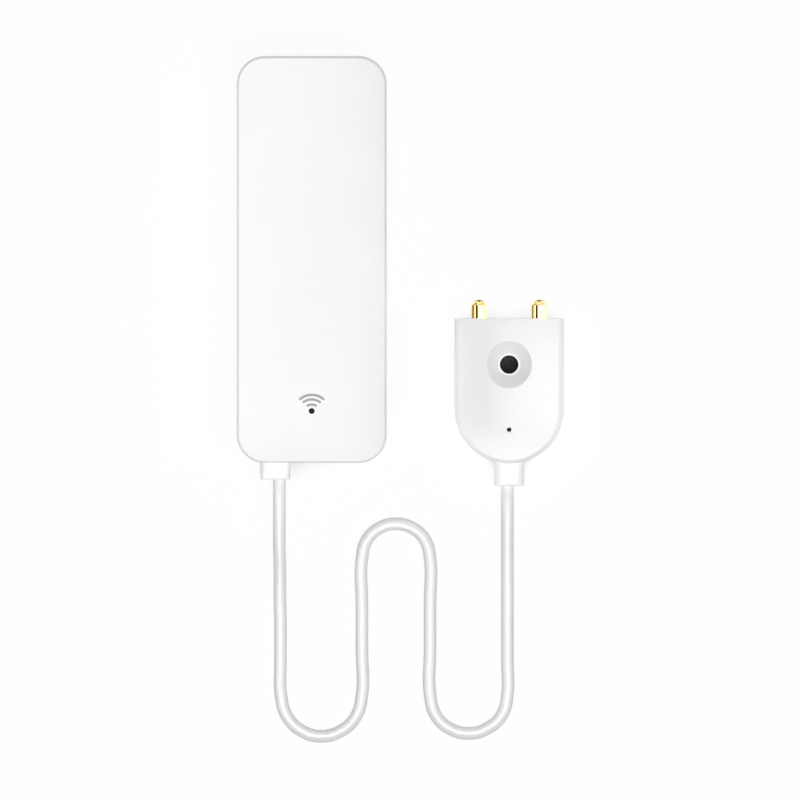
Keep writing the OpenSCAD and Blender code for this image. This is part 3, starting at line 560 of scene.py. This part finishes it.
def dress_nodes():
    """Gives each CAD node the finish of its slot, and makes the cells and springs that replace theirs."""
    nickel = plated(
        "nickel_plate", (0.62, 0.6, 0.56), roughness=0.22, grain=0.1 * MM, relief=0.001 * MM,
        stretch=(1, 8, 1),
    )
    finishes = {
        "white_gloss": moulded(
            "white_gloss", grey(0.88), roughness=0.3, grain=0.18 * MM, relief=0.002 * MM,
        ),
        "white_matte": moulded(
            "white_matte", (0.82, 0.82, 0.81), roughness=0.5, grain=0.22 * MM, relief=0.006 * MM,
        ),
        "white_soft": moulded(
            "white_soft", grey(0.92), roughness=0.42, grain=0.25 * MM, relief=0.002 * MM,
        ),
        "gold_plate": plated(
            "gold_plate", (0.88, 0.66, 0.28), roughness=0.07, grain=0.08 * MM, relief=0.0003 * MM,
        ),
        "nickel_steel": nickel,
        "tin_can": plated(
            "tinned_sheet", grey(0.66), roughness=0.3, grain=0.15 * MM, relief=0.001 * MM,
            stretch=(6, 1, 1),
        ),
        "board": solder_mask("solder_mask", (0.03, 0.16, 0.08)),
        "ivory_plastic": moulded(
            "ivory_nylon", (0.82, 0.79, 0.7), roughness=0.45, grain=0.2 * MM, relief=0.004 * MM,
        ),
        "black_plastic": moulded(
            "black_epoxy", grey(0.03), roughness=0.5, grain=0.15 * MM, relief=0.006 * MM, mottle=0.2,
        ),
        "dark_lens": moulded(
            "smoked_lens", grey(0.004), roughness=0.3, grain=0.4 * MM, relief=0.0005 * MM, ior=1.17,
        ),
        "seal_rubber": moulded(
            "seal_rubber", grey(0.03), roughness=0.6, grain=0.15 * MM, relief=0.005 * MM, mottle=0.2,
        ),
    }
    for part in frame["record"]["subparts"]:
        if part["material_slot"] in finishes:
            dress(part["node"], finishes[part["material_slot"]])
    make_cells(nickel)
    make_springs(nickel)


def seen_directly(tree):
    """Whether a ray comes from the camera, straight or by way of gloss or glass."""
    path = tree.nodes.new("ShaderNodeLightPath")
    seen = path.outputs["Is Camera Ray"]
    for other in ("Is Glossy Ray", "Is Transmission Ray"):
        either = tree.nodes.new("ShaderNodeMath")
        either.operation = "MAXIMUM"
        tree.links.new(seen, either.inputs[0])
        tree.links.new(path.outputs[other], either.inputs[1])
        seen = either.outputs[0]
    return seen


def make_floor():
    """A white table that glows evenly, with a little real shadow and painted shade where the object closes
    it in.
    """
    shader = Shader("white_table")

    def diffuse(tone):
        return shader.node("ShaderNodeBsdfDiffuse", {"Color": rgba(grey(tone))}).outputs[0]

    def mixed(factor, first, second):
        return shader.node("ShaderNodeMixShader", {0: factor, 1: first, 2: second}).outputs[0]

    # Painted shade: the table's glow fades where the object closes it in, and turns to the dark tone in
    # holes.
    open_sky = shader.node("ShaderNodeAmbientOcclusion", {"Distance": FLOOR_REACH}, samples=FLOOR_RAYS)
    painted_shade = shader.node("ShaderNodeMapRange", {
        "Value": open_sky.outputs["AO"], "From Min": FLOOR_DARK, "From Max": FLOOR_OPEN,
    })
    glow = shader.node("ShaderNodeEmission", {"Color": rgba(WHITE), "Strength": 1.0})
    lit = mixed(FLOOR_SHADOW, glow.outputs[0], diffuse(FLOOR_TONE))
    shaded = mixed(painted_shade.outputs[0], diffuse(FLOOR_PAINTED_SHADE), lit)
    both = mixed(seen_directly(shader.tree), diffuse(FLOOR_BOUNCE), shaded)
    shader.put(shader.output.inputs["Surface"], both)
    corners = [(FLOOR_HALF * x, FLOOR_HALF * y, 0) for x, y in ((-1, -1), (1, -1), (1, 1), (-1, 1))]
    mesh = bpy.data.meshes.new("table")
    mesh.from_pydata(corners, [], [(0, 1, 2, 3)])
    table = link(bpy.data.objects.new("table", mesh))
    table.location.z = FLOOR_LEVEL
    mesh.materials.append(shader.material)


def make_world():
    """Even light from all round, behind which the camera sees white."""
    world = bpy.data.worlds.new("studio")
    scene.world = world
    world.use_nodes = True
    tree = world.node_tree
    tree.nodes.clear()
    fill = tree.nodes.new("ShaderNodeBackground")
    fill.inputs["Strength"].default_value = WORLD_FILL
    white = tree.nodes.new("ShaderNodeBackground")
    white.inputs["Color"].default_value = rgba(WHITE)
    white.inputs["Strength"].default_value = 1.0
    mixed = tree.nodes.new("ShaderNodeMixShader")
    tree.links.new(seen_directly(tree), mixed.inputs[0])
    tree.links.new(fill.outputs[0], mixed.inputs[1])
    tree.links.new(white.outputs[0], mixed.inputs[2])
    output = tree.nodes.new("ShaderNodeOutputWorld")
    tree.links.new(mixed.outputs[0], output.inputs["Surface"])


def softbox(name, place, size, power, target):
    """A soft lamp that faces its target. It lights the object and isn't seen by the camera."""
    lamp = bpy.data.lights.new(name, "AREA")
    lamp.shape = "RECTANGLE"
    lamp.size, lamp.size_y = size
    lamp.energy = power
    obj = link(bpy.data.objects.new(name, lamp))
    obj.location = place
    aim = Vector(target) - Vector(place)
    obj.rotation_euler = aim.to_track_quat("-Z", "Y").to_euler()
    obj.visible_camera = False
    return obj


def edge_lamp(name, edge, outward, spec):
    """A lamp beside an edge of a housing, which lifts its shaded side. Gloss doesn't show it."""
    distance, height, width, depth, power = spec
    away = Vector((*outward, 0)).normalized()
    place = Vector((*edge, height * MM)) + distance * MM * away
    lamp = softbox(name, place, (width * MM, depth * MM), power, place - away)
    lamp.visible_glossy = False


def edge_lamps():
    """Lamps beside the probe's sides and its round end, and beside the main unit's left side."""
    low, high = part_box("probe_shell")
    middle = (low + high) / 2
    edge_lamp("probe_west", (low.x, middle.y), (-1, 0), PROBE_SIDE_LAMP)
    edge_lamp("probe_east", (high.x, middle.y), (1, 0), PROBE_SIDE_LAMP)
    radius = (high.x - low.x) / 2
    reach = radius * math.sqrt(0.5)
    south = low.y + radius - reach
    edge_lamp("probe_south_west", (middle.x - reach, south), (-1, -1), PROBE_SOUTH_WEST_LAMP)
    edge_lamp("probe_south_east", (middle.x + reach, south), (1, -1), PROBE_SOUTH_EAST_LAMP)
    low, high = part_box("front_shell")
    edge_lamp("unit_west", (low.x, (low.y + high.y) / 2), (-1, 0), UNIT_SIDE_LAMP)


def make_card(name, place, size, facing, tone, back, tint):
    """A card that only reflections show. Its back has a tone of its own."""
    shader = Shader(name)
    behind = shader.node("ShaderNodeNewGeometry").outputs["Backfacing"]
    tones = shader.node("ShaderNodeMapRange", {"Value": behind, "To Min": tone, "To Max": back})
    glow = shader.node("ShaderNodeEmission", {"Color": rgba(tint), "Strength": tones.outputs["Result"]})
    shader.put(shader.output.inputs["Surface"], glow.outputs[0])
    x, y = (s * MM / 2 for s in size)
    mesh = bpy.data.meshes.new(name)
    mesh.from_pydata([(-x, -y, 0), (x, -y, 0), (x, y, 0), (-x, y, 0)], [], [(0, 3, 2, 1)])
    mesh.materials.append(shader.material)
    card = link(bpy.data.objects.new(name, mesh))
    card.location = Vector(place) * MM
    card.rotation_euler = Vector(facing).to_track_quat("-Z", "Y").to_euler()
    card.visible_camera = card.visible_diffuse = card.visible_shadow = False


def sheen_lamp(name, place, size, tones, aim, spread):
    """A lamp that only gloss shows, graded from left to right. Its light stays close to its aim."""
    width, depth = (s * MM for s in size)
    place = Vector(place) * MM
    aim = Vector(aim)
    half = spread / 2
    unit = math.pi * width * depth * (1 - half / math.tan(half))
    lamp = softbox(name, place, (depth, width) if aim.x else (width, depth), unit, place + aim)
    lamp.data.spread = spread
    lamp.visible_diffuse = False
    lamp.data.use_nodes = True
    nodes = lamp.data.node_tree.nodes
    links = lamp.data.node_tree.links
    across = nodes.new("ShaderNodeSeparateXYZ")
    links.new(nodes.new("ShaderNodeNewGeometry").outputs["Position"], across.inputs[0])
    grade = nodes.new("ShaderNodeMapRange")
    links.new(across.outputs["X"], grade.inputs["Value"])
    ends = (place.x - width / 2, place.x + width / 2, *tones)
    for key, value in zip(("From Min", "From Max", "To Min", "To Max"), ends):
        grade.inputs[key].default_value = value
    links.new(grade.outputs["Result"], nodes["Emission"].inputs["Strength"])


def pin_cards():
    """Cards round the gold pins, for the bright and dark lines along them."""
    left, right = (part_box(pin) for pin in ("contact_pin_left", "contact_pin_right"))
    step = (right[0].x - left[0].x) / MM
    tip = right[1].y / MM
    middle = (left[0] + right[1]) / (2 * MM)
    facing = Vector((math.sin(OVER_LEAN), 0, math.cos(OVER_LEAN)))
    over = Vector((middle.x, tip + PIN_MIDDLE + OVER_SHIFT, middle.z)) + OVER_DISTANCE * facing
    make_card("pin_card", over, OVER_SIZE, -facing, *OVER_TONES, WHITE)
    for side, axis in (("left", middle.x - step / 2), ("right", middle.x + step / 2)):
        for name, (place, *card) in PIN_CARDS.items():
            make_card(f"{name}_{side}", Vector((axis, tip, 0)) + Vector(place), *card)
    place, *card = DOME_CARD
    for number in range(3):
        between = Vector((middle.x + (number - 1) * step, tip, 0))
        make_card(f"dome_card_{number}", between + Vector(place), *card)


def make_lamps():
    key = softbox("key", *KEY_LAMP)
    key.visible_glossy = False
    softbox("low_left", *LOW_LEFT_LAMP)
    softbox("low_far", *LOW_FAR_LAMP)
    edge_lamps()
    for name, spec in SHEEN_LAMPS.items():
        sheen_lamp(name, *spec)
    pin_cards()


make_camera()
make_cable()
make_sign()
dress_nodes()
make_leads()
make_floor()
make_world()
make_lamps()
